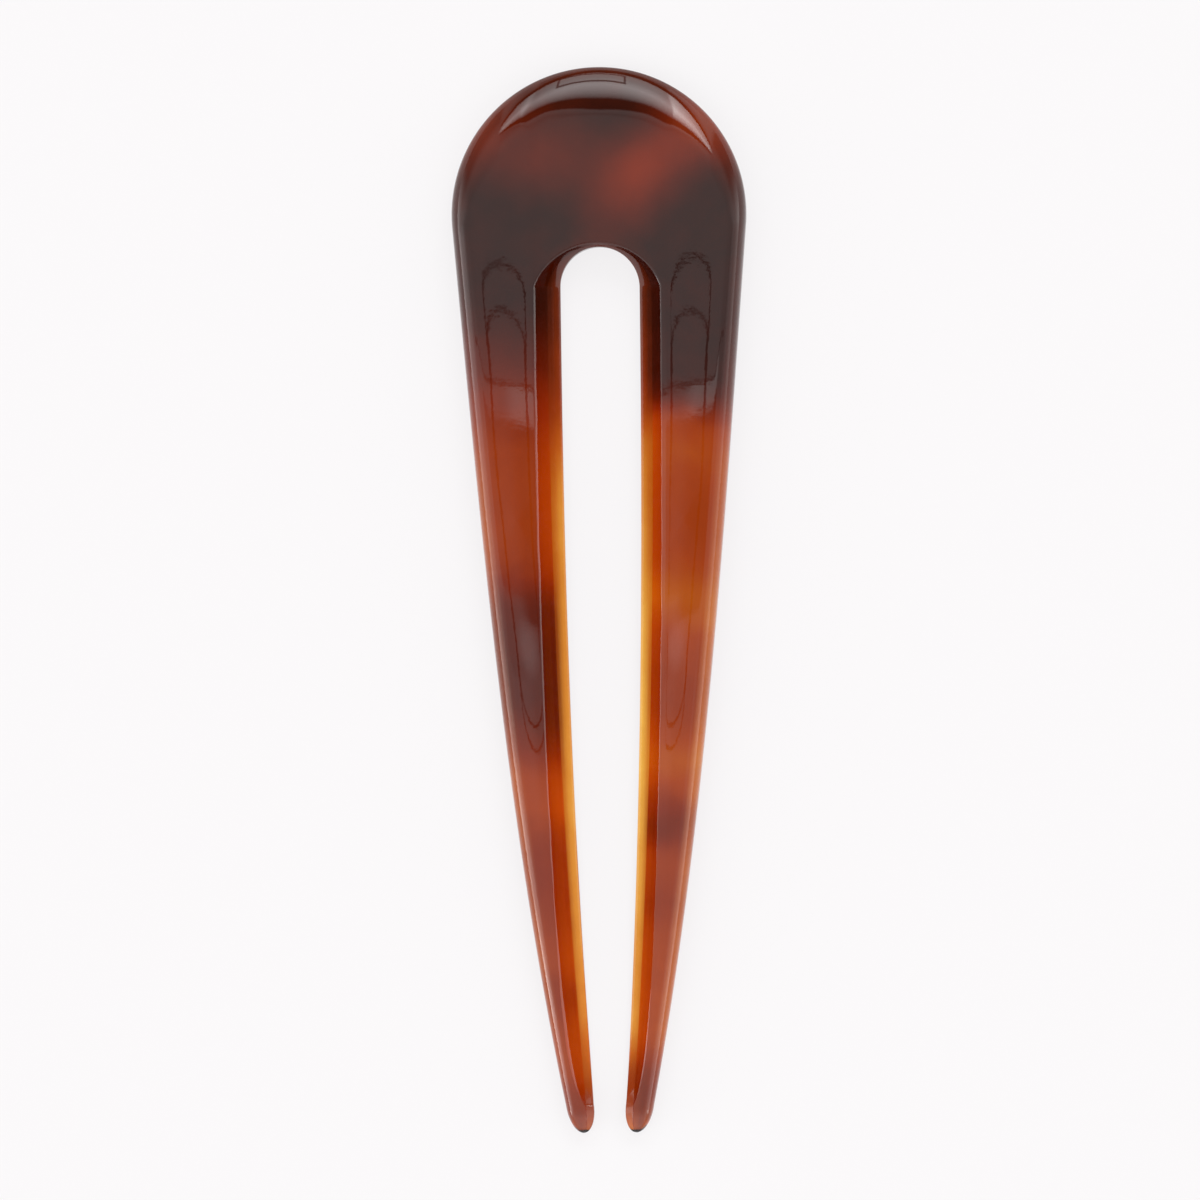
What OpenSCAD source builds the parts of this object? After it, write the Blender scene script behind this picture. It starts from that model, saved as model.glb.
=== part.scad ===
// Two-pronged hair pin, cut from one sheet of acetate and polished.
// It lies on its back: x runs across the pin, y runs from the tips to the crown, z is up.
// The origin is the middle of the pin's length and width, on the back face.

/* [Pin] */
// Length from the crown to the tips
pin_l = 130; // [105:1:155]
// Greatest width, which is the diameter of the round head
head_w = 36; // [30:0.5:46]
// Thickness of the sheet
sheet_t = 5; // [4:0.1:6.5]

/* [Slot] */
// Width of the slot under its round top
slot_w = 9.7; // [6:0.1:13]
// Distance from the crown down to the top of the slot
slot_depth = 22; // [16:0.5:30]
// Gap between the prongs where their round ends start
tip_gap = 4; // [2:0.1:6]

/* [Prongs] */
// Lean of each outer edge where it leaves the round head, in degrees
side_lean = 4.7; // [3:0.1:5.5]
// Width of a prong where its round end starts
tip_w = 3.4; // [2:0.1:4]
// Thickness of a prong where its round end starts
tip_t = 3; // [2.2:0.1:4]
// Length of the round end of a prong
tip_round_l = 3.4; // [1.2:0.1:4.5]

/* [Rounded outer edge] */
// Width of the rounded bevel at the crown
crown_bevel_w = 6.2; // [3:0.1:9]
// Width of the rounded bevel along the outer sides
side_bevel_w = 1.7; // [0.8:0.1:2.4]
// Height of the outer walls' upper end, under the bevel, above the back face
wall_top = 2.2; // [1.4:0.1:3]
// Rounding of the edges of the back face
back_round = 0.7; // [0.3:0.1:1]

/* [Bevel round the slot] */
// Width of the bevel along the prongs, facet and rounded lip together
slot_bevel_w = 2.9; // [1.8:0.1:3.4]
// Width of the same bevel at the top of the slot
slot_bevel_top = 0.45; // [0.3:0.05:1.2]
// Width of the rounded lip at the top of a prong
lip_w = 1.5; // [0.8:0.1:1.7]
// Width of the rounded lip at the tip
lip_tip_w = 0.9; // [0.4:0.05:1]
// Slope of the flat facet between the face and the lip, in degrees
facet_slope = 49; // [30:1:50]
// Slope of the lip where it leaves the facet, in degrees
lip_slope = 47; // [30:1:50]

/* [Hidden] */

// Stations along one prong, along its round end, and along half of the head
LEG_STATIONS = 26;
TIP_STATIONS = 6;
HEAD_STATIONS = 20;
// Steps across a rounded bevel, a lip and a back edge
BEVEL_STEPS = 6;
LIP_STEPS = 4;
BACK_STEPS = 3;

// How fast the outer edges curve in, the slot and its lip narrow and the sheet thins toward the tips
EDGE_POWER = 3.3;
SLOT_POWER = 2.35;
LIP_POWER = 2;
THIN_POWER = 3;
// Most of a prong's width that each bevel may take near the tip
OUTER_SHARE = 0.3;
SLOT_SHARE = 0.7;
// How fast the facet closes and the lip flattens at the tip, and the share of the facet's width left there
FACET_POWER = 40;
FACET_END = 0.06;
// Lowest place of the lip's two sides, against the thickness there
LIP_LOWEST = 0.3;
WALL_LOWEST = 0.13;
// Most of a slot wall's height that the rounding under it may take
BACK_SHARE = 0.8;
// Straight part of a rounded bevel's fall at the crown, and of the lip's fall
CROWN_CREASE = 0.35;
LIP_CREASE = 0.92;
// Size of the last section of a round end, against the section where that end starts
END_SHARE = 0.2;

crown_y = pin_l / 2;
tip_y = -pin_l / 2;
round_start_y = tip_y + tip_round_l;

// Foot of each arc: where the round head or the slot's round top meets the prongs
head_foot = [head_w / 2 * cos(side_lean), crown_y - head_w / 2 * (1 + sin(side_lean))];
slot_top_y = crown_y - slot_depth;
slot_foot = [slot_w / 2, slot_top_y - slot_w / 2];

// Inward travel of an outer edge past its straight lean, down to the tip
edge_sweep = head_foot[0] - (head_foot[1] - round_start_y) * tan(side_lean) - tip_gap / 2 - tip_w;

// Lean of both edges where a round end starts, and of the round end between them, as travel to the slot
outer_lean = tan(side_lean) + edge_sweep * EDGE_POWER / (head_foot[1] - round_start_y);
inner_lean = (slot_w - tip_gap) / 2 * SLOT_POWER / (slot_foot[1] - round_start_y);
end_lean = (outer_lean + inner_lean) / 2;

// The smaller of two widths, with a smooth change from one to the other
function soft_min(a, b) = pow(pow(a, -4) + pow(b, -4), -1 / 4);

// Point on the arc from a foot on the side to a top on the middle line, turn 0 to 1
function arc_point(foot, top_y, turn) =
    let (rise = top_y - foot[1])
    let (radius = (foot[0] * foot[0] + rise * rise) / (2 * rise))
    let (start = asin((radius - rise) / radius))
    let (angle = start + turn * (90 - start))
    [radius * cos(angle), top_y - radius + radius * sin(angle)];

// Height along a prong, fall 0 at the foot of an arc and 1 where the round end starts
function leg_y(foot, fall) = foot[1] + fall * (round_start_y - foot[1]);

function outer_x(fall) =
    let (lean = fall * (head_foot[1] - round_start_y) * tan(side_lean))
    head_foot[0] - lean - edge_sweep * pow(fall, EDGE_POWER);
function inner_x(fall) = slot_w / 2 - (slot_w - tip_gap) / 2 * pow(fall, SLOT_POWER);
function prong_w(fall) = outer_x(fall) - inner_x(fall);

function side_bevel(fall) = soft_min(side_bevel_w, OUTER_SHARE * prong_w(fall));
function lip(fall) = lip_w - (lip_w - lip_tip_w) * pow(fall, LIP_POWER);
function closing(fall) = 1 - (1 - FACET_END) * pow(fall, FACET_POWER);
function facet(fall) = closing(fall) * (soft_min(slot_bevel_w, SLOT_SHARE * prong_w(fall)) - lip(fall));
function slot_bevel(fall) = lip(fall) + facet(fall);
function thickness(fall) = sheet_t - (sheet_t - tip_t) * pow(fall, THIN_POWER);

// The five lines that run along the pin, each as a point at a turn of the head or a fall of a prong
function outer_edge(turn, fall) =
    fall > 0 ? [outer_x(fall), leg_y(head_foot, fall)] : arc_point(head_foot, crown_y, turn);
function outer_crease(turn, fall) =
    fall > 0 ? [outer_x(fall) - side_bevel(fall), leg_y(head_foot, fall)]
    : arc_point([head_foot[0] - side_bevel(0), head_foot[1]], crown_y - crown_bevel_w, turn);
function slot_crease(turn, fall) =
    fall > 0 ? [inner_x(fall) + slot_bevel(fall), leg_y(slot_foot, fall)]
    : arc_point([slot_foot[0] + slot_bevel(0), slot_foot[1]], slot_top_y + slot_bevel_top, turn);
function lip_line(turn, fall) =
    fall > 0 ? [inner_x(fall) + lip(fall), leg_y(slot_foot, fall)]
    : arc_point([slot_foot[0] + lip(0), slot_foot[1]], slot_top_y + slot_bevel_top / 2, turn);
function inner_edge(turn, fall) =
    fall > 0 ? [inner_x(fall), leg_y(slot_foot, fall)] : arc_point(slot_foot, slot_top_y, turn);

// Share of its drop that a rounded edge has fallen at a share across, upright at its end
function round_fall(across, straight) = straight * across + (1 - straight) * (1 - sqrt(1 - across * across));

function mix(a, b, share) = a + (b - a) * share;
function raised(point, z) = [point[0], point[1], z];

// Section across the pin, from the back face at the slot up and over to the back face outside
function section(turn, fall) =
    let (in_pt = inner_edge(turn, fall), lip_pt = lip_line(turn, fall), slot_pt = slot_crease(turn, fall))
    let (face_pt = outer_crease(turn, fall), out_pt = outer_edge(turn, fall))
    let (top = thickness(fall), thinned = top / sheet_t)
    let (lip_z = max(top - norm(slot_pt - lip_pt) * tan(facet_slope), LIP_LOWEST * top))
    let (lip_drop = norm(lip_pt - in_pt) * tan(lip_slope) * sqrt(closing(fall)) / LIP_CREASE)
    let (slot_wall = max(lip_z - lip_drop, WALL_LOWEST * top), wall = wall_top * thinned)
    let (back = min(back_round * thinned, BACK_SHARE * slot_wall))
    let (inset = (out_pt - in_pt) * back / norm(out_pt - in_pt))
    let (crease = fall > 0 ? 0 : CROWN_CREASE * turn)
    concat(
        [for (i = [0 : BACK_STEPS]) let (a = 90 * i / BACK_STEPS)
            raised(in_pt + inset * (1 - sin(a)), back * (1 - cos(a)))],
        [for (i = [0 : LIP_STEPS]) let (across = cos(90 * i / LIP_STEPS))
            raised(mix(lip_pt, in_pt, across), mix(lip_z, slot_wall, round_fall(across, LIP_CREASE)))],
        [raised(slot_pt, top)],
        [for (i = [0 : BEVEL_STEPS]) let (across = sin(90 * i / BEVEL_STEPS))
            raised(mix(face_pt, out_pt, across), mix(top, wall, round_fall(across, crease)))],
        [for (i = [0 : BACK_STEPS]) let (a = 90 * i / BACK_STEPS)
            raised(out_pt - inset * (1 - cos(a)), back * (1 - sin(a)))]
    );

// Section in the round end: the one where the end starts, shrunk about the middle and moved on
function end_section(advance) =
    let (start = section(0, 1), shrink = sqrt(1 - (1 - END_SHARE * END_SHARE) * advance * advance))
    let (middle = [tip_gap / 2 + tip_w / 2, round_start_y, tip_t / 2])
    let (travel = tip_round_l * advance * [end_lean, 1, 0])
    [for (p = start) middle + (p - middle) * shrink - travel];

right_half = concat(
    [for (i = [TIP_STATIONS : -1 : 1]) end_section(sin(90 * i / TIP_STATIONS))],
    [for (i = [LEG_STATIONS : -1 : 1]) section(0, sin(90 * i / LEG_STATIONS))],
    [for (i = [0 : HEAD_STATIONS]) section(i / HEAD_STATIONS, 0)]
);
left_half = [for (i = [len(right_half) - 2 : -1 : 0]) [for (p = right_half[i]) [-p[0], p[1], p[2]]]];
sections = concat(right_half, left_half);

// Skin over a row of closed sections that all have the same number of points, with flat ends
module skin(rows) {
    last = len(rows) - 1;
    around = len(rows[0]);
    side_faces = [
        for (row = [0 : last - 1])
            for (i = [0 : around - 1])
                let (near = row * around, far = near + around, next = (i + 1) % around)
                for (face = [[near + i, far + i, near + next], [near + next, far + i, far + next]])
                    face
    ];
    first_end = [for (i = [0 : around - 1]) i];
    last_end = [for (i = [around - 1 : -1 : 0]) last * around + i];
    polyhedron(
        points = [for (row = rows) for (p = row) p],
        faces = concat(side_faces, [first_end, last_end]),
        convexity = 6
    );
}

module hair_pin() {
    color("saddlebrown") skin(sections);
}

hair_pin();
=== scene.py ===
"""The looks of a two-pronged hair pin in polished tortoiseshell acetate, lying flat on its back."""
import math

import bpy
from mathutils import Matrix, Vector, noise


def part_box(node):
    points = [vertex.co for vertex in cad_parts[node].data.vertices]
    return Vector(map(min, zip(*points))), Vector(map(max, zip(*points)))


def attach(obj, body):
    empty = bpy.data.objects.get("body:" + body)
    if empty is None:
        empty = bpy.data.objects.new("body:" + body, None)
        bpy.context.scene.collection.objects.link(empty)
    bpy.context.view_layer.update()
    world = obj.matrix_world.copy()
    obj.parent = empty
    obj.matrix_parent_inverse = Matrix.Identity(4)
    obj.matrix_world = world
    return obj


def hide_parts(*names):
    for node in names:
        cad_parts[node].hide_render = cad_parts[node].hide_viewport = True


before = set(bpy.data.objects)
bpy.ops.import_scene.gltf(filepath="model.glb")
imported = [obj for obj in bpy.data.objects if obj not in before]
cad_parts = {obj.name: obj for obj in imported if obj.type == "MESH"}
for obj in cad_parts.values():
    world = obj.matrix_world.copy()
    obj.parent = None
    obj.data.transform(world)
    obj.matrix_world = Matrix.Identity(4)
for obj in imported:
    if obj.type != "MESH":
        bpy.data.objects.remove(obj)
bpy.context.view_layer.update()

# Driving sizes of the pin, in metres: length, width and thickness are those of the solid in the frame
MM = 0.001
PIN_LOW, PIN_HIGH = (Vector(corner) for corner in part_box("hair_pin"))
PIN_L = PIN_HIGH.y - PIN_LOW.y
HEAD_W = PIN_HIGH.x - PIN_LOW.x
SHEET_T = PIN_HIGH.z - PIN_LOW.z

# The slot
SLOT_W = 9.7 * MM
SLOT_DEPTH = 22 * MM
TIP_GAP = 4 * MM

# The prongs
SIDE_LEAN = math.radians(4.7)
TIP_W = 3.4 * MM
TIP_T = 3 * MM
TIP_ROUND_L = 3.4 * MM
EDGE_POWER = 3.3
SLOT_POWER = 2.35
THIN_POWER = 3

# The rounded outer edge and the bevel round the slot
CROWN_BEVEL_W = 6.2 * MM
SIDE_BEVEL_W = 1.7 * MM
WALL_TOP = 2.2 * MM
BACK_ROUND = 0.7 * MM
SLOT_BEVEL_W = 2.9 * MM
SLOT_BEVEL_TOP = 0.45 * MM
LIP_W = 1.5 * MM
LIP_TIP_W = 0.9 * MM
LIP_POWER = 2
FACET_SLOPE = math.radians(49)
LIP_SLOPE = math.radians(47)
OUTER_SHARE = 0.3
SLOT_SHARE = 0.7
FACET_POWER = 40
FACET_END = 0.06
WALL_LOWEST = 0.13
BACK_SHARE = 0.8
CROWN_CREASE = 0.35
LIP_CREASE = 0.92

# Stations along a prong, its round end and half of the head, and how far round its end a tip is closed
LEG_STATIONS = 150
TIP_STATIONS = 14
HEAD_STATIONS = 60
END_ANGLE = math.radians(89)

CROWN_Y = PIN_HIGH.y
ROUND_START_Y = PIN_LOW.y + TIP_ROUND_L
HEAD_FOOT = Vector((
    HEAD_W / 2 * math.cos(SIDE_LEAN),
    CROWN_Y - HEAD_W / 2 * (1 + math.sin(SIDE_LEAN)),
))
SLOT_TOP_Y = CROWN_Y - SLOT_DEPTH
SLOT_FOOT = Vector((SLOT_W / 2, SLOT_TOP_Y - SLOT_W / 2))
LEAN_TRAVEL = (HEAD_FOOT.y - ROUND_START_Y) * math.tan(SIDE_LEAN)
EDGE_SWEEP = HEAD_FOOT.x - LEAN_TRAVEL - TIP_GAP / 2 - TIP_W
# Lean of both edges where a round end starts, and of the round end between them
OUTER_LEAN = (LEAN_TRAVEL + EDGE_SWEEP * EDGE_POWER) / (HEAD_FOOT.y - ROUND_START_Y)
INNER_LEAN = (SLOT_W - TIP_GAP) / 2 * SLOT_POWER / (SLOT_FOOT.y - ROUND_START_Y)
END_LEAN = (OUTER_LEAN + INNER_LEAN) / 2


def mix(a, b, share):
    return a + (b - a) * share


def soft_min(a, b):
    """The smaller of two widths, with a smooth change from one to the other."""
    return (a ** -4 + b ** -4) ** -0.25


def arc_point(foot, top_y, turn):
    """Point on the arc from a foot on the side to a top on the middle line."""
    rise = top_y - foot.y
    radius = (foot.x ** 2 + rise ** 2) / (2 * rise)
    start = math.asin((radius - rise) / radius)
    angle = start + turn * (math.pi / 2 - start)
    return Vector((radius * math.cos(angle), top_y - radius + radius * math.sin(angle)))


def leg_y(foot, fall):
    return foot.y + fall * (ROUND_START_Y - foot.y)


def outer_x(fall):
    return HEAD_FOOT.x - fall * LEAN_TRAVEL - EDGE_SWEEP * fall ** EDGE_POWER


def inner_x(fall):
    return SLOT_W / 2 - (SLOT_W - TIP_GAP) / 2 * fall ** SLOT_POWER


def prong_w(fall):
    return outer_x(fall) - inner_x(fall)


def side_bevel(fall):
    return soft_min(SIDE_BEVEL_W, OUTER_SHARE * prong_w(fall))


def lip(fall):
    return mix(LIP_W, LIP_TIP_W, fall ** LIP_POWER)


def closing(fall):
    """Share of the facet that is left as it closes at the tip."""
    return 1 - (1 - FACET_END) * fall ** FACET_POWER


def slot_bevel(fall):
    facet = soft_min(SLOT_BEVEL_W, SLOT_SHARE * prong_w(fall)) - lip(fall)
    return lip(fall) + facet * closing(fall)


def thickness(fall):
    return SHEET_T - (SHEET_T - TIP_T) * fall ** THIN_POWER


def round_fall(across, straight):
    """Share of its drop that a rounded edge has fallen at a share across, upright at its end."""
    return straight * across + (1 - straight) * (1 - math.sqrt(max(0.0, 1 - across * across)))


def lines(turn, fall):
    """The five lines that run along the pin: inner edge, lip, slot crease, outer crease, outer edge."""
    if fall > 0:
        inner, outer = inner_x(fall), outer_x(fall)
        slot_y, head_y = leg_y(SLOT_FOOT, fall), leg_y(HEAD_FOOT, fall)
        return (
            Vector((inner, slot_y)),
            Vector((inner + lip(fall), slot_y)),
            Vector((inner + slot_bevel(fall), slot_y)),
            Vector((outer - side_bevel(fall), head_y)),
            Vector((outer, head_y)),
        )
    return (
        arc_point(SLOT_FOOT, SLOT_TOP_Y, turn),
        arc_point(SLOT_FOOT + Vector((lip(0), 0)), SLOT_TOP_Y + SLOT_BEVEL_TOP / 2, turn),
        arc_point(SLOT_FOOT + Vector((slot_bevel(0), 0)), SLOT_TOP_Y + SLOT_BEVEL_TOP, turn),
        arc_point(HEAD_FOOT - Vector((side_bevel(0), 0)), CROWN_Y - CROWN_BEVEL_W, turn),
        arc_point(HEAD_FOOT, CROWN_Y, turn),
    )


# Steps across the parts of a section
BACK_STEPS = 6
LIP_STEPS = 12
FACE_STEPS = 24
BEVEL_STEPS = 18
UNDER_STEPS = 16
# Places across the facet, between its rounded creases
FACET_SHARES = (0.25, 0.5, 0.75)
# How far a crease is rounded on each side of it, and how far its middle is cut down by that
CREASE_ROUND = 0.055 * MM
CREASE_CUT = 0.012 * MM
# Most of the facet's width that this rounding takes
CREASE_SHARE = 0.125
# The slot's bevel was cut a little wider on the left: share of its width to each side of the mean
BEVEL_BIAS = 0.16
# Polishing leaves the face of a prong slightly crowned and rolled off at its sides: slope of the crown
# at the creases, place of the roll from the middle to a crease, and slope that the roll adds
FACE_CROWN = 0.011
ROLL_AT = 0.86
ROLL_SLOPE = 0.03
# Past the slot's crease, beside the slot's top, the face levels out over this share of half its width
LEVEL_OUT = 0.5
# The face leans to the slot near the head, more on the left, and less down the prong: slopes, how
# much is lost, and between which falls
LEFT_LEAN = 0.0043
RIGHT_LEAN = 0.0033
LEAN_LOSS = 0.0035
LOSS_FROM, LOSS_FULL = 0.2, 0.55
# It leaves the face slightly wavy too: depth and length of the waves
WAVE_DEPTH = 0.003 * MM
WAVE_L = 7 * MM
# The slot's crease was cut by hand: how far it strays to the side, over what length, how far apart the
# places of the two prongs are in its noise, and the part of the head's turn, next to the middle, over
# which it fades
CREASE_STRAY = 0.1 * MM
STRAY_L = 5 * MM
STRAY_APART = 9
STRAY_FADE = 0.1
# Width beside the slot, and beside the outer edge, where light getting in from the side is painted into
# the colour as painted glow, and the share of the first where that painted glow is full
SLOT_GLOW_W = 1.7 * MM
OUTER_GLOW_W = 1.2 * MM
SLOT_GLOW_FULL = 0.3
# Share of the outer bevel's width at which that painted glow is full
BEVEL_GLOW_FULL = 0.6


def smooth(low, high, value):
    """0 below low, 1 above high, and an even change between them."""
    share = min(max((value - low) / (high - low), 0), 1)
    return share * share * (3 - 2 * share)


def wave(x, y):
    """Depth of the polishing waves, from 0 to 1."""
    return 0.5 + 0.5 * noise.noise(Vector((x / WAVE_L, y / WAVE_L, 0)))


def face_z(x, y, side):
    """Height of the polished face at a place, with x counted from the pin's middle line."""
    fall = min(max((SLOT_FOOT.y - y) / (SLOT_FOOT.y - ROUND_START_Y), 0), 1)
    outer_fall = min(max((HEAD_FOOT.y - y) / (HEAD_FOOT.y - ROUND_START_Y), 0), 1)
    near = inner_x(fall) + slot_bevel(fall)
    half = (outer_x(outer_fall) - side_bevel(outer_fall) - near) / 2
    across = max((x - near) / half - 1, -1)
    lean = (RIGHT_LEAN if side > 0 else LEFT_LEAN) - LEAN_LOSS * smooth(LOSS_FROM, LOSS_FULL, fall)
    drop = FACE_CROWN / 2 * across ** 2 + ROLL_SLOPE * max(0, abs(across) - ROLL_AT) + lean * (1 - across)
    past = min(max(near - x, 0) / half / LEVEL_OUT, 1)
    drop += (FACE_CROWN + ROLL_SLOPE + lean) * LEVEL_OUT * (past - past ** 2 / 2)
    return thickness(fall) - half * drop


def section(turn, fall, side):
    """Closed section across the pin, from the back face at the slot up, over and back under.

    Each entry is a point and how much painted glow its colour gets for light coming in from the side,
    below 0 on the facet, which is painted a darker shade for light that has gone a longer way through
    the sheet.
    """
    inner, lip_pt, slot_pt, face_pt, outer = lines(turn, fall)
    stray = noise.noise(Vector((side * STRAY_APART, slot_pt.y / STRAY_L, turn)))
    wider = CREASE_STRAY * stray - side * BEVEL_BIAS * (slot_pt - lip_pt).length
    slot_pt = slot_pt + (slot_pt - lip_pt).normalized() * wider * smooth(0, STRAY_FADE, 1 - turn)
    top = thickness(fall)
    thinned = top / SHEET_T
    facet_l = (slot_pt - lip_pt).length
    face_l = (face_pt - slot_pt).length
    lip_z = top - facet_l * math.tan(FACET_SLOPE)
    lip_drop = (lip_pt - inner).length * math.tan(LIP_SLOPE) * math.sqrt(closing(fall)) / LIP_CREASE
    slot_wall, wall = max(lip_z - lip_drop, WALL_LOWEST * top), WALL_TOP * thinned
    back = min(BACK_ROUND * thinned, BACK_SHARE * slot_wall)
    across_pin = outer - inner
    inset = across_pin.normalized() * back
    crease = CROWN_CREASE * turn if fall == 0 else 0
    entries = []

    def add(flat, z, glow):
        entries.append((Vector((flat.x, flat.y, z)), glow))

    # Painted glow: 1 on the rounded back edges, the lip and the outer wall, 0 on the face and -1 on the
    # facet for its painted darker shade
    for i in range(BACK_STEPS + 1):
        a = math.pi / 2 * i / BACK_STEPS
        add(inner + inset * (1 - math.sin(a)), back * (1 - math.cos(a)), 1)
    for i in range(LIP_STEPS + 1):
        across = math.cos(math.pi / 2 * i / LIP_STEPS)
        add(mix(lip_pt, inner, across), mix(lip_z, slot_wall, round_fall(across, LIP_CREASE)), 1)
    small = min(CREASE_ROUND, CREASE_SHARE * facet_l, face_l / (2 * FACE_STEPS))
    slot_z = face_z(slot_pt.x, slot_pt.y, side)
    near_lip = small / facet_l
    # The facet is marked -1, for its painted darker shade
    for share in (near_lip, *FACET_SHARES, 1 - near_lip):
        add(mix(lip_pt, slot_pt, share), mix(lip_z, slot_z, share), -1)
    for i in range(FACE_STEPS + 1):
        share = 0.5 - 0.5 * math.cos(math.pi * i / FACE_STEPS)
        flat = mix(slot_pt, face_pt, share)
        dip = WAVE_DEPTH * wave(flat.x * side, flat.y) + (CREASE_CUT if i == 0 else 0)
        add(flat, face_z(flat.x, flat.y, side) - dip, 0)
    crease_z = entries[-1][0].z
    # The outer bevel's painted glow grows toward the outer edge
    for i in range(1, BEVEL_STEPS + 1):
        across = math.sin(math.pi / 2 * i / BEVEL_STEPS)
        z = mix(crease_z, wall, round_fall(across, crease))
        add(mix(face_pt, outer, across), z, smooth(0, BEVEL_GLOW_FULL, across))
    for i in range(BACK_STEPS + 1):
        a = math.pi / 2 * i / BACK_STEPS
        add(outer - inset * (1 - math.cos(a)), back * (1 - math.sin(a)), 1)
    under_l = (across_pin - 2 * inset).length
    # On the back face, painted glow fades in from the outer edge and from the slot
    for i in range(1, UNDER_STEPS):
        share = i / UNDER_STEPS
        outer_glow = 1 - smooth(0, OUTER_GLOW_W, share * under_l)
        slot_glow = 1 - smooth(SLOT_GLOW_FULL * SLOT_GLOW_W, SLOT_GLOW_W, (1 - share) * under_l)
        add(mix(outer - inset, inner + inset, share), 0, max(outer_glow, slot_glow))
    return entries


def end_section(advance, side):
    """Section in the round end: the one where the end starts, shrunk about the middle and moved on."""
    shrink = math.sqrt(max(0.0, 1 - advance * advance))
    middle = Vector((TIP_GAP / 2 + TIP_W / 2, ROUND_START_Y, TIP_T / 2))
    travel = Vector((END_LEAN, 1, 0)) * TIP_ROUND_L * advance
    return [(middle + (p - middle) * shrink - travel, glow) for p, glow in section(0, 1, side)]


def half_sections(side):
    """Sections of one half from its tip to the middle of the crown, side 1 right and -1 left."""
    rows = [end_section(math.sin(END_ANGLE * i / TIP_STATIONS), side) for i in range(TIP_STATIONS, 0, -1)]
    quarter = math.pi / 2
    rows += [section(0, math.sin(quarter * i / LEG_STATIONS), side) for i in range(LEG_STATIONS, 0, -1)]
    rows += [section(i / HEAD_STATIONS, 0, side) for i in range(HEAD_STATIONS + 1)]
    return [[(Vector((side * p.x, p.y, p.z)), glow) for p, glow in row] for row in rows]


def make_pin():
    rows = half_sections(1) + half_sections(-1)[-2::-1]
    around = len(rows[0])
    faces = []
    for row in range(len(rows) - 1):
        near, far = row * around, (row + 1) * around
        for i in range(around):
            j = (i + 1) % around
            faces.append((near + j, far + j, far + i, near + i))
    last = (len(rows) - 1) * around
    faces.append(tuple(range(around)))
    faces.append(tuple(last + i for i in reversed(range(around))))
    mesh = bpy.data.meshes.new("polished_pin")
    mesh.from_pydata([tuple(p) for row in rows for p, _ in row], [], faces)
    # Painted glow at the edges and painted darker shade on the facet, for the material to read
    glow = mesh.attributes.new("painted_edge_glow", "FLOAT", "POINT")
    glow.data.foreach_set("value", [value for row in rows for _, value in row])
    mesh.polygons.foreach_set("use_smooth", [True] * len(mesh.polygons))
    pin = bpy.data.objects.new("polished_pin", mesh)
    bpy.context.scene.collection.objects.link(pin)
    return pin


class Tree:
    """Adds nodes to a node tree; an input is a number, a colour or another node's output."""

    def __init__(self, tree):
        self.tree = tree

    def node(self, kind, inputs=None, **settings):
        made = self.tree.nodes.new(kind)
        for name, value in settings.items():
            setattr(made, name, value)
        for name, value in (inputs or {}).items():
            self.feed(made.inputs[name], value)
        return made

    def feed(self, socket, value):
        if isinstance(value, bpy.types.NodeSocket):
            self.tree.links.new(value, socket)
        else:
            socket.default_value = value

    def math(self, operation, a, b=0.0, add=0.0, clamp=False):
        inputs = {0: a, 1: b, 2: add}
        return self.node("ShaderNodeMath", inputs, operation=operation, use_clamp=clamp).outputs[0]

    def vector(self, operation, a, b=(0, 0, 0), scale=1.0):
        made = self.node("ShaderNodeVectorMath", {0: a, 1: b}, operation=operation)
        if operation == "SCALE":
            self.feed(made.inputs["Scale"], scale)
        return made.outputs["Value" if operation in ("LENGTH", "DOT_PRODUCT") else "Vector"]

    def noise(self, vector, scale, detail):
        inputs = {"Vector": vector, "Scale": scale, "Detail": detail}
        return self.node("ShaderNodeTexNoise", inputs)

    def ramp(self, value, stops, interpolation="B_SPLINE"):
        """Colour or grey for a value, from (place, colour or grey) stops."""
        made = self.node("ShaderNodeValToRGB", {"Fac": value})
        made.color_ramp.interpolation = interpolation
        elements = made.color_ramp.elements
        while len(elements) < len(stops):
            elements.new(0.5)
        for element, (place, tone) in zip(elements, stops):
            element.position = place
            element.color = (*tone, 1) if isinstance(tone, tuple) else (tone, tone, tone, 1)
        return made.outputs["Color"]

    def graph(self, value, points):
        """Grey read off straight lines between (value, grey) points, which may go above 1."""
        made = self.node("ShaderNodeFloatCurve")
        low, high = points[0][0], points[-1][0]
        top = max(grey for _, grey in points)
        curve = made.mapping.curves[0]
        while len(curve.points) < len(points):
            curve.points.new(0.5, 0.5)
        for point, (at, grey) in zip(curve.points, points):
            point.location = ((at - low) / (high - low), grey / top)
            point.handle_type = "VECTOR"
        made.mapping.update()
        share = self.change(value, low, high, "LINEAR")
        self.feed(made.inputs["Value"], share)
        return self.math("MULTIPLY", made.outputs[0], top)

    def change(self, value, low, high, kind="SMOOTHSTEP"):
        """0 at low and beyond it, 1 at high and beyond it."""
        inputs = {"Value": value, "From Min": low, "From Max": high}
        return self.node("ShaderNodeMapRange", inputs, interpolation_type=kind, clamp=True).outputs[0]

    def blend(self, share, a, b):
        """Colour between two colours; the node's other sockets, for numbers, have the same names."""
        made = self.node("ShaderNodeMix", data_type="RGBA")
        self.feed(made.inputs["Factor"], share)
        self.feed(made.inputs[6], a)
        self.feed(made.inputs[7], b)
        return made.outputs[2]


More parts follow.
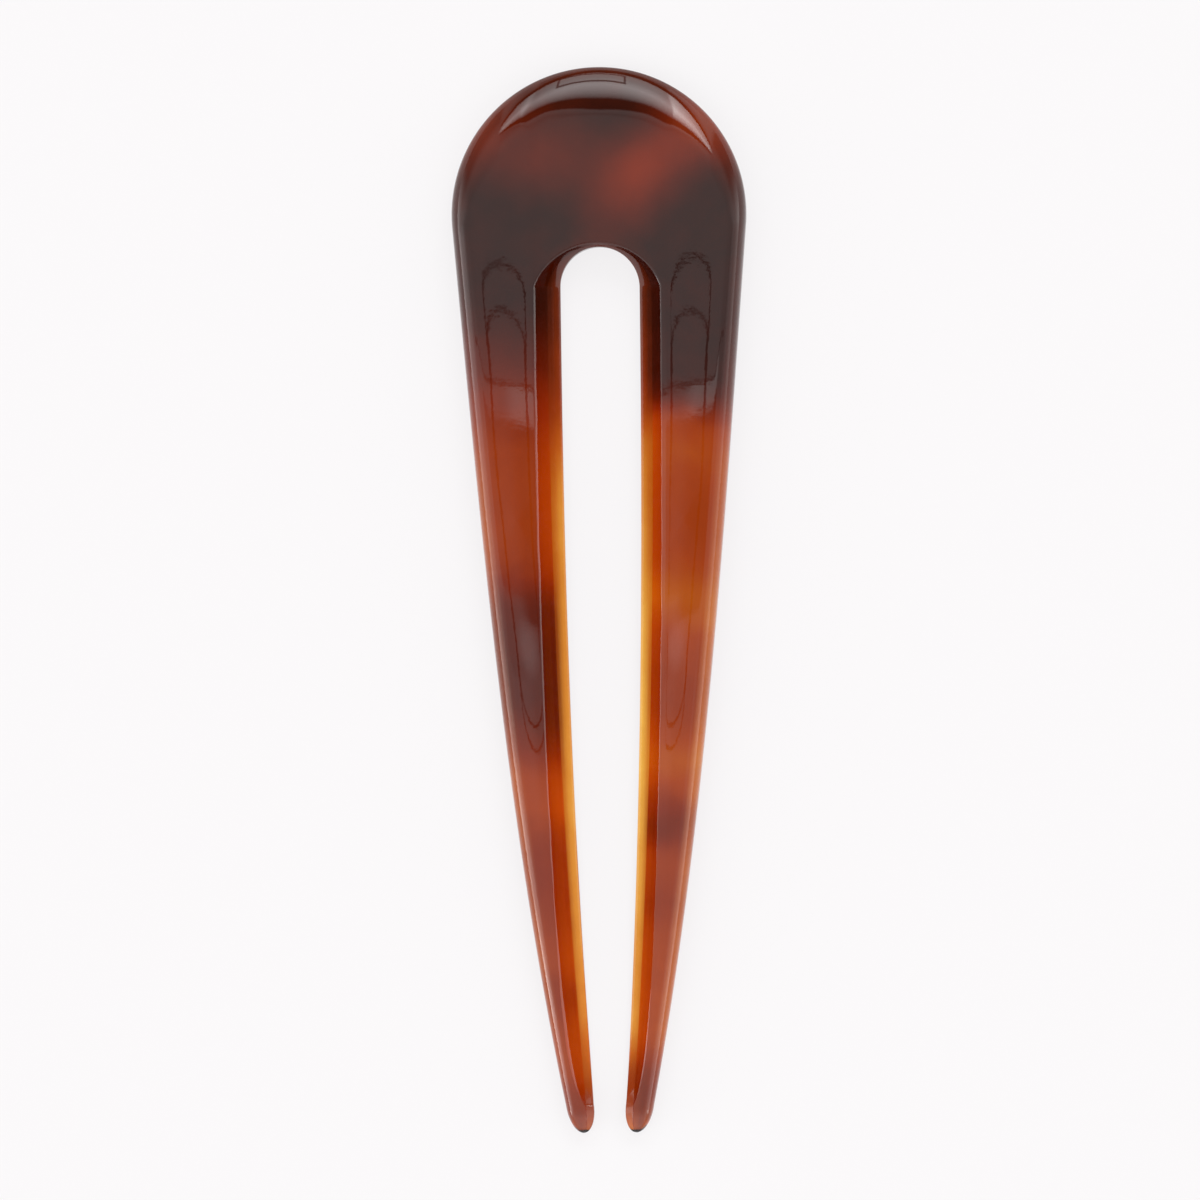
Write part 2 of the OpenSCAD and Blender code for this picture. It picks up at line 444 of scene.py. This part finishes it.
# How dark the acetate is along each prong: distance from the crown in mm, and darkness from 0 to 1
LEFT_TONES = (
    (0, 1), (29, 1), (34, 0.84), (41, 0.52), (47, 0.32), (58, 0.3), (62, 0.44), (66, 0.76), (74, 0.79),
    (80, 0.76), (85, 0.42), (89, 0.2), (93, 0.46), (98, 0.52), (104, 0.45), (109, 0.32), (113, 0.58),
    (118, 0.38), (122, 0.4), (126, 0.62), (130, 0.6),
)
RIGHT_TONES = (
    (0, 1), (37, 1), (40.5, 0.76), (43.5, 0.2), (48, 0.2), (55, 0.32), (61, 0.25), (65, 0.0), (69, 0.28),
    (75, 0.42), (80, 0.4), (84, 0.08), (88, 0.25), (92, 0.62), (94.5, 0.6), (97, 0.28), (101, 0.5),
    (105, 0.38), (110, 0.33), (118, 0.3), (122, 0.4), (126, 0.75), (130, 0.6),
)
# The same along the thin edges, painted lighter than the face as painted glow of light getting in from
# the side, so that they stay amber where the face is dark
LEFT_EDGE_PAINTED_GLOW_TONES = (
    (0, 1), (29, 0.97), (34, 0.85), (41, 0.75), (46, 0.5), (52, 0.18), (60, 0.26), (72, 0.3), (80, 0.27),
    (88, 0.22), (96, 0.25), (102, 0.32), (114, 0.35), (121, 0.55), (126, 0.85), (129, 0.5), (130, 0.4),
)
RIGHT_EDGE_PAINTED_GLOW_TONES = (
    (0, 1), (29, 0.97), (36, 0.85), (42, 0.66), (46, 0.36), (53, 0.22), (62, 0.2), (68, 0.06), (74, 0.1),
    (80, 0.05), (88, 0.06), (93, 0.14), (102, 0.17), (108, 0.25), (114, 0.27), (119, 0.2), (123, 0.65),
    (127, 0.85), (130, 0.4),
)
# Middle of a prong from the pin's middle line in mm, and the slant of the patches across a prong
PRONG_X = 9
SLANT = 0.15
# How far the patches drift from straight bands, on the prongs and in the head, in mm, and how many
# drifts there are to a mm
DRIFT, HEAD_DRIFT, DRIFTS = 5.0, 2.5, 0.11
# Fine mottling: how much it changes the darkness, and how many clouds there are to a mm
MOTTLE, MOTTLES = 0.16, 0.3
# Where a glowing place has faded out, in its half lengths and half widths, and its half depth in mm,
# which is far more than the sheet's
GLOW_REACH = 1.35
GLOW_DEPTH = 1000
# Glowing places in the dark head: middle x and y, half length and half width in mm, lean in degrees,
# and strength
HEAD_GLOWS = (
    (5.9, 52.3, 10, 5.5, 43, 0.48),
    (13, 56.5, 8, 4.5, -40, 0.2),
    (-7, 54.5, 11, 6, -6, 0.27),
    (-14, 57, 6, 3.5, 48, 0.05),
)
# Tint of the sheet from a pale patch to a dark one, and the same at an edge, lighter and yellower there as
# painted glow of light getting in
SHEET_TINTS = (
    (0, (0.51, 0.2, 0.018)),
    (0.25, (0.38, 0.088, 0.008)),
    (0.5, (0.23, 0.036, 0.004)),
    (0.75, (0.105, 0.016, 0.003)),
    (1, (0.025, 0.006, 0.004)),
)
EDGE_PAINTED_GLOW_TINTS = (
    (0, (0.7, 0.51, 0.14)),
    (0.25, (0.51, 0.245, 0.05)),
    (0.5, (0.37, 0.1, 0.016)),
    (0.75, (0.22, 0.038, 0.01)),
    (1, (0.08, 0.017, 0.009)),
)
# Painted darker, more saturated shade on the facet for light that has gone a longer way through the sheet:
# its red, green and blue against those of the face
FACET_PAINTED_SHADE = (1.3, 0.75, 0.15)
# Refractive index of acetate, and what its depth does to light
ACETATE_IOR = 1.48
DEPTH_TINT = (0.74, 0.49, 0.1, 1)
DEPTH_DENSITY = 500
# Smears left by the polishing: how many there are to a mm, the noise of the clearest place and of the
# dullest one, and their roughness
SMEARS = 0.25
SMEAR_LOW, SMEAR_HIGH = 0.3, 0.7
ROUGH_LOW, ROUGH_HIGH = 0.005, 0.014
# Ripple in the polish: how many there are to a mm, and their depth in metres
RIPPLES = 1.2
RIPPLE_DEPTH = 3e-7


def darkness(tree, place):
    """How dark the acetate is at a place in mm, in the sheet and at its thin edges, which are painted
    lighter as painted glow of light getting in from the side.
    """
    drift = tree.vector("SUBTRACT", tree.noise(place, DRIFTS, detail=2).outputs["Color"], (0.5, 0.5, 0.5))
    cloudy = tree.vector("ADD", place, tree.vector("SCALE", drift, scale=DRIFT))
    softly = tree.vector("ADD", place, tree.vector("SCALE", drift, scale=HEAD_DRIFT))
    raw_x = tree.node("ShaderNodeSeparateXYZ", {0: place}).outputs["X"]
    middle = tree.math("MULTIPLY", tree.math("SIGN", raw_x), PRONG_X)
    slant = tree.math("MULTIPLY", tree.math("SUBTRACT", raw_x, middle), SLANT)
    cloudy_y = tree.node("ShaderNodeSeparateXYZ", {0: cloudy}).outputs["Y"]
    slanted = tree.math("ADD", cloudy_y, slant)
    from_crown = tree.math("DIVIDE", tree.math("SUBTRACT", CROWN_Y / MM, slanted), PIN_L / MM)
    # The edge tables paint a lighter glow along the thin edges, painted light for light getting in from the
    # side
    left, right, left_painted_edge, right_painted_edge = [
        tree.ramp(from_crown, [(at * MM / PIN_L, tone) for at, tone in table])
        for table in (LEFT_TONES, RIGHT_TONES, LEFT_EDGE_PAINTED_GLOW_TONES, RIGHT_EDGE_PAINTED_GLOW_TONES)
    ]
    on_right = tree.math("GREATER_THAN", raw_x, 0)
    sheet = tree.blend(on_right, left, right)
    edge = tree.blend(on_right, left_painted_edge, right_painted_edge)
    mottle = tree.math("SUBTRACT", tree.noise(cloudy, MOTTLES, detail=3).outputs[0], 0.5)
    change = tree.math("MULTIPLY", mottle, MOTTLE)
    for x, y, half_l, half_w, lean, strength in HEAD_GLOWS:
        mapping = tree.node(
            "ShaderNodeMapping",
            {"Vector": softly, "Location": (x, y, 0), "Rotation": (0, 0, math.radians(lean)),
             "Scale": (half_l, half_w, GLOW_DEPTH)},
            vector_type="TEXTURE",
        )
        reach = tree.vector("LENGTH", mapping.outputs[0])
        glow = tree.math("MULTIPLY", tree.change(reach, GLOW_REACH, 0), strength)
        change = tree.math("SUBTRACT", change, glow)
    return [tree.math("ADD", tone, change, clamp=True) for tone in (sheet, edge)]


def acetate():
    """Tortoiseshell acetate: patches in its colour, painted glow at its edges, painted darker shade on its
    facet, amber in its depth, and a hand polished surface.
    """
    material = bpy.data.materials.new("tortoiseshell_acetate")
    material.use_nodes = True
    tree = Tree(material.node_tree)
    shader = material.node_tree.nodes["Principled BSDF"]
    place = tree.vector("SCALE", tree.node("ShaderNodeTexCoord").outputs["Object"], scale=1 / MM)
    sheet, edge = darkness(tree, place)
    # Painted glow at the edges and painted darker shade on the facet, from the mesh's attribute
    glow = tree.node("ShaderNodeAttribute", attribute_name="painted_edge_glow").outputs["Fac"]
    tint_and_painted_glow = tree.blend(glow, tree.ramp(sheet, SHEET_TINTS, "LINEAR"), tree.ramp(edge, EDGE_PAINTED_GLOW_TINTS, "LINEAR"))
    # Painted darker shade on the facet, where the attribute is below 0
    painted_facet_share = tree.math("MULTIPLY", glow, -1, clamp=True)
    painted_facet_tint = tree.vector("MULTIPLY", tint_and_painted_glow, FACET_PAINTED_SHADE)
    tree.feed(shader.inputs["Base Color"], tree.blend(painted_facet_share, tint_and_painted_glow, painted_facet_tint))
    shader.inputs["Transmission Weight"].default_value = 1
    shader.inputs["IOR"].default_value = ACETATE_IOR
    smears = tree.noise(place, SMEARS, detail=4).outputs[0]
    rough = tree.node(
        "ShaderNodeMapRange",
        {"Value": smears, "From Min": SMEAR_LOW, "From Max": SMEAR_HIGH,
         "To Min": ROUGH_LOW, "To Max": ROUGH_HIGH},
    )
    tree.feed(shader.inputs["Roughness"], rough.outputs[0])
    ripple = tree.noise(place, RIPPLES, detail=3).outputs[0]
    bump = tree.node("ShaderNodeBump", {"Height": ripple, "Strength": 1.0, "Distance": RIPPLE_DEPTH})
    tree.feed(shader.inputs["Normal"], bump.outputs[0])
    depth = {"Color": DEPTH_TINT, "Density": DEPTH_DENSITY}
    volume = tree.node("ShaderNodeVolumeAbsorption", depth)
    tree.feed(material.node_tree.nodes["Material Output"].inputs["Volume"], volume.outputs[0])
    return material


# Brightness of the lit table, as the camera sees it, as the pin mirrors it and as it shines through the
# pin, and of the room behind
TABLE_SEEN = (0.797, 0.78, 0.788, 1)
TABLE_MIRRORED = (0.85, 0.83, 0.84, 1)
TABLE_LIGHT = (1.8, 1.8, 1.8, 1)
ROOM_SEEN = (0.93, 0.92, 0.925, 1)

# The camera looks a little from the right, and the pin hangs a little to the left of upright
CAMERA_YAW = math.radians(2.8)
CAMERA_ROLL = math.radians(-0.7)

# Brightness of the studio by the angle from straight over the face, in degrees: round the pin,
# beside it where white walls stand, and beyond the crown where a soft box hangs
ROUND_LIGHT = ((0, 0.95), (20, 0.85), (45, 0.8), (60, 0.35), (90, 0.35), (180, 1.2))
SIDE_LIGHT = ((0, 0.95), (16, 1.3), (30, 1.8), (42, 1.9), (60, 2.1), (78, 3.2), (92, 3.6), (180, 1.8))
CROWN_LIGHT = (
    (0, 0.95), (14, 0.9), (19, 0.7), (23.5, 1), (24.3, 0.08), (31.5, 0.08), (33.5, 1.6), (36.5, 3),
    (41, 4.6), (45.5, 5.6), (56, 3.6), (66, 2.9), (71, 2), (72.5, 0.05), (83, 0.05), (88, 0.6),
    (116, 1), (180, 1),
)
# The soft box is widest in its middle and narrows to both ends: half its spread, the bearing of its
# middle, the angle that it narrows to, how much it narrows and to what share at least, and how many
# degrees its ends take to fade
BOX_SPREAD = 46
BOX_TURN = 5
BOX_MIDDLE = 42
BOX_NARROWS, BOX_LEAST = 0.9, 0.1
BOX_SOFT = 3
# Its light along the spread, from its left end to its right end, and the angles between which this
# starts to count
BOX_GAIN = (
    (-50, 0.7), (-28, 0.75), (-25, 1.1), (-23, 0.7), (-12, 0.9), (22, 1), (24, 1), (25.5, 2), (34, 1.6),
    (50, 1),
)
GAIN_FROM, GAIN_FULL = 24, 32
# A thin dark frame in it, in degrees: middle and half width by the bearing, middle and half height by
# the angle, how thick it is at its sides and at its lower and upper edge, how soft it is at each, and
# how dark
FRAME_TURN, FRAME_HALF_W, FRAME_ANGLE, FRAME_HALF_H = -3.5, 12, 59, 10
FRAME_SIDE, FRAME_EDGE = 0.9, 3
SIDE_SOFT, EDGE_SOFT = 0.4, 0.8
FRAME_DARK = 0.75
# White walls stand at the sides from this bearing to this one, in degrees from the crown's side, and end
# toward the tips, where the light is this
WALL_FROM, WALL_FULL = 62, 84
WALL_LAST, WALL_END = 100, 120
TIP_LIGHT = ((0, 0.95), (16, 1.3), (30, 1.8), (60, 1.9), (80, 1.1), (100, 0.7), (180, 1.4))
# How strong the light of the walls is by its height as a sine, on the left and on the right
LEFT_WALL = (
    (-0.365, 6), (-0.338, 4), (-0.3, 3.2), (-0.276, 2.1), (-0.243, 2.5), (-0.221, 2.7), (-0.192, 1.5),
    (-0.157, 1.9), (-0.135, 1.3), (-0.1, 1.35), (-0.088, 1.15), (-0.05, 1.25), (0.1, 1),
)
RIGHT_WALL = (
    (-0.365, 6), (-0.338, 4.5), (-0.31, 1.3), (-0.27, 1.1), (-0.24, 1.2), (-0.22, 0.95), (-0.15, 0.85),
    (-0.1, 0.62), (-0.05, 0.57), (0.1, 0.8),
)
# Past the horizon, which the lips of the slot mirror, the walls are no brighter than this: the angles in
# degrees that the change goes from and to, and the strength
LIP_FROM, LIP_FULL, LIP_GAIN = 86, 92, 0.7
# What the faces mirror from straight over them, by its height as a sine: light over the left prong and
# over the right one
LEFT_OVER = (
    (-0.08, 0.95), (-0.036, 1.1), (-0.033, 0.9), (-0.0165, 0.9), (-0.0145, 0.53), (0.0152, 0.53),
    (0.0168, 1.1), (0.0202, 1.1), (0.0206, 1), (0.04, 1),
)
RIGHT_OVER = (
    (-0.08, 0.9), (-0.06, 0.75), (-0.033, 0.9), (-0.0215, 0.7), (-0.0205, 0.28), (0.0152, 0.3),
    (0.0168, 1.8), (0.0202, 1.9), (0.0206, 1), (0.04, 1),
)
# How far to the side it is full and where it ends, as sines, the cosines of the angle from straight
# over the face where it ends and is full, and half the width of the change from left to right
OVER_FULL, OVER_REACH = 0.06, 0.08
OVER_END_COS, OVER_FULL_COS = 0.9, 0.95
MIDDLE_SOFT = 0.008
# A lamp behind the camera: its height, half height, half width and light, the first three as sines,
# and the shares of its half size where its light ends and is full
LAMP_UP, LAMP_H, LAMP_W, LAMP_LIGHT = -0.0268, 0.0062, 0.012, 0.8
LAMP_END, LAMP_FULL = 1.5, 0.3
# Two thin dark outlines behind the camera: half width, top and bottom, and how tall their round ends are
OUTLINES = ((0.0162, 0.0354, -0.0537), (0.0152, 0.0302, -0.047))
TOP_ROUND, BOTTOM_ROUND = 0.0035, 0.009
# How thick their lines are at the sides, at the top and at the bottom
LINE_W, LINE_TOP, LINE_BOTTOM = 0.001, 0.0004, 0.001
# How dark they are, and how soft at their edges, as a share of the half width
LINE_DARK = 0.8
LINE_SOFT = 0.006
# The far edge of the table shows as a thin dark line: its height as a sine, half its width, and how
# dark it is
TABLE_EDGE = 0.0207
TABLE_EDGE_W = 0.0006
TABLE_EDGE_DARK = 0.8
# The table: half its size and how far it lies under the pin, in metres, and the grey of its surface
TABLE_HALF = 1.5
TABLE_GAP = 0.05 * MM
TABLE_GREY = (0.1, 0.1, 0.1, 1)
# The camera: the width that it sees and how far off it is, in metres, its sensor in mm, how far to the
# left of the pin's middle it looks, and the nearest that it sees
VIEW_W = 0.1463
CAMERA_OFF = 1.2
SENSOR_W = 36
LOOK_LEFT = 0.42 * MM
NEAREST = 0.1


def floor_and_lights():
    half = TABLE_HALF
    mesh = bpy.data.meshes.new("floor")
    corners = [(-half, -half, 0), (half, -half, 0), (half, half, 0), (-half, half, 0)]
    mesh.from_pydata(corners, [], [(0, 1, 2, 3)])
    floor = bpy.data.objects.new("floor", mesh)
    floor.location.z = -TABLE_GAP
    bpy.context.scene.collection.objects.link(floor)
    material = bpy.data.materials.new("lit_table")
    material.use_nodes = True
    tree = Tree(material.node_tree)
    shader = material.node_tree.nodes["Principled BSDF"]
    shader.inputs["Base Color"].default_value = TABLE_GREY
    shader.inputs["Roughness"].default_value = 1
    shader.inputs["Specular IOR Level"].default_value = 0
    path = tree.node("ShaderNodeLightPath").outputs
    glow = tree.blend(path["Is Transmission Ray"], TABLE_MIRRORED, TABLE_LIGHT)
    glow = tree.blend(path["Is Camera Ray"], glow, TABLE_SEEN)
    tree.feed(shader.inputs["Emission Color"], glow)
    shader.inputs["Emission Strength"].default_value = 1
    mesh.materials.append(material)
    studio()


def outlined(tree, across, up, half_w, top, bottom):
    """1 inside an upright outline with rounded ends."""
    over = tree.math("DIVIDE", tree.math("SUBTRACT", up, top - TOP_ROUND), TOP_ROUND)
    under = tree.math("DIVIDE", tree.math("SUBTRACT", bottom + BOTTOM_ROUND, up), BOTTOM_ROUND)
    high = tree.math("MAXIMUM", tree.math("MAXIMUM", over, under), 0)
    off = tree.node("ShaderNodeCombineXYZ", {0: tree.math("DIVIDE", across, half_w), 1: high})
    return tree.change(tree.vector("LENGTH", off.outputs[0]), 1 + LINE_SOFT, 1 - LINE_SOFT)


def studio():
    """White walls beside the pin, a soft box beyond its crown, and what lies behind the camera."""
    world = bpy.data.worlds.new("studio")
    bpy.context.scene.world = world
    world.use_nodes = True
    tree = Tree(world.node_tree)
    direction = tree.node("ShaderNodeTexCoord").outputs["Generated"]
    over = tree.vector("DOT_PRODUCT", direction, (-math.sin(CAMERA_YAW), 0, math.cos(CAMERA_YAW)))
    right = tree.vector("DOT_PRODUCT", direction, (math.cos(CAMERA_YAW), 0, math.sin(CAMERA_YAW)))
    up = tree.node("ShaderNodeSeparateXYZ", {0: direction}).outputs["Y"]
    angle = tree.math("MULTIPLY", tree.math("ARCCOSINE", over), 180 / math.pi)
    bearing = tree.math("MULTIPLY", tree.math("ARCTAN2", right, up), 180 / math.pi)
    off_crown = tree.math("ABSOLUTE", bearing)
    off_box = tree.math("ABSOLUTE", tree.math("SUBTRACT", bearing, BOX_TURN))

    round_pin = tree.graph(angle, ROUND_LIGHT)
    walls = [tree.graph(up, table) for table in (LEFT_WALL, RIGHT_WALL)]
    wall = tree.blend(tree.math("GREATER_THAN", right, 0), *walls)
    wall = tree.blend(tree.change(angle, LIP_FROM, LIP_FULL), wall, tree.math("MINIMUM", wall, LIP_GAIN))
    beside = tree.math("MULTIPLY", tree.graph(angle, SIDE_LIGHT), wall)
    past_wall = tree.change(off_crown, WALL_LAST, WALL_END)
    beside = tree.blend(past_wall, beside, tree.graph(angle, TIP_LIGHT))
    spread = tree.math("POWER", tree.math("DIVIDE", off_box, BOX_SPREAD), 2)
    narrower = tree.math("MULTIPLY", spread, BOX_NARROWS)
    narrow = tree.math("MAXIMUM", tree.math("SUBTRACT", 1, narrower), BOX_LEAST)
    widened = tree.math("DIVIDE", tree.math("SUBTRACT", angle, BOX_MIDDLE), narrow)
    beyond = tree.graph(tree.math("ADD", widened, BOX_MIDDLE), CROWN_LIGHT)
    slanting = tree.change(angle, GAIN_FROM, GAIN_FULL)
    beyond = tree.math("MULTIPLY", beyond, tree.blend(slanting, (1, 1, 1, 1), tree.graph(bearing, BOX_GAIN)))
    off_frame = tree.math("ABSOLUTE", tree.math("SUBTRACT", bearing, FRAME_TURN))
    off_middle = tree.math("ABSOLUTE", tree.math("SUBTRACT", angle, FRAME_ANGLE))
    frame_in, frame_out = [
        tree.math(
            "MULTIPLY",
            tree.change(off_frame, FRAME_HALF_W - side, FRAME_HALF_W - side - SIDE_SOFT),
            tree.change(off_middle, FRAME_HALF_H - edge, FRAME_HALF_H - edge - EDGE_SOFT),
        )
        for side, edge in ((FRAME_SIDE, FRAME_EDGE), (0, 0))
    ]
    dark_frame = tree.math("MULTIPLY", tree.math("SUBTRACT", frame_out, frame_in), FRAME_DARK)
    beyond = tree.math("MULTIPLY", beyond, tree.math("SUBTRACT", 1, dark_frame))
    in_box = tree.change(off_box, BOX_SPREAD, BOX_SPREAD - BOX_SOFT)
    by_wall = tree.change(off_crown, WALL_FROM, WALL_FULL)
    light = tree.blend(by_wall, tree.blend(in_box, round_pin, beyond), beside)

    across = tree.math("ABSOLUTE", right)
    to_right = tree.change(right, -MIDDLE_SOFT, MIDDLE_SOFT)
    mirrored = tree.blend(to_right, tree.graph(up, LEFT_OVER), tree.graph(up, RIGHT_OVER))
    lamp_up = tree.math("DIVIDE", tree.math("SUBTRACT", up, LAMP_UP), LAMP_H)
    off_lamp = tree.node("ShaderNodeCombineXYZ", {0: tree.math("DIVIDE", right, LAMP_W), 1: lamp_up})
    lamp = tree.change(tree.vector("LENGTH", off_lamp.outputs[0]), LAMP_END, LAMP_FULL)
    mirrored = tree.math("MULTIPLY_ADD", lamp, LAMP_LIGHT, add=mirrored)
    for half_w, top, bottom in OUTLINES:
        around = outlined(tree, across, up, half_w, top, bottom)
        within = outlined(tree, across, up, half_w - LINE_W, top - LINE_TOP, bottom + LINE_BOTTOM)
        line = tree.math("MULTIPLY", tree.math("SUBTRACT", around, within), LINE_DARK)
        mirrored = tree.math("MULTIPLY", mirrored, tree.math("SUBTRACT", 1, line))
    facing = tree.change(over, OVER_END_COS, OVER_FULL_COS)
    overhead = tree.math("MULTIPLY", facing, tree.change(across, OVER_REACH, OVER_FULL))
    light = tree.math("MULTIPLY", light, tree.blend(overhead, (1, 1, 1, 1), mirrored))
    off_edge = tree.math("ABSOLUTE", tree.math("SUBTRACT", up, TABLE_EDGE))
    edge = tree.change(off_edge, 0, TABLE_EDGE_W)
    off_line = tree.math("MULTIPLY_ADD", edge, TABLE_EDGE_DARK, add=1 - TABLE_EDGE_DARK)
    light = tree.math("MULTIPLY", light, off_line)

    seen = tree.node("ShaderNodeLightPath").outputs["Is Camera Ray"]
    background = world.node_tree.nodes["Background"]
    tree.feed(background.inputs["Color"], tree.blend(seen, light, ROOM_SEEN))


def camera():
    data = bpy.data.cameras.new("camera")
    data.sensor_fit = "HORIZONTAL"
    data.sensor_width = SENSOR_W
    data.lens = SENSOR_W * CAMERA_OFF / VIEW_W
    data.clip_start = NEAREST
    cam = bpy.data.objects.new("camera", data)
    target = Vector((-LOOK_LEFT, 0, SHEET_T / 2))
    cam.matrix_world = (
        Matrix.Translation(target)
        @ Matrix.Rotation(CAMERA_YAW, 4, "Y")
        @ Matrix.Rotation(CAMERA_ROLL, 4, "Z")
        @ Matrix.Translation(Vector((0, 0, CAMERA_OFF)))
    )
    bpy.context.scene.collection.objects.link(cam)
    bpy.context.scene.camera = cam


pin = make_pin()
pin.data.materials.append(acetate())
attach(pin, "root")
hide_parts("hair_pin")
floor_and_lights()
camera()
bpy.context.scene.view_settings.view_transform = "Standard"
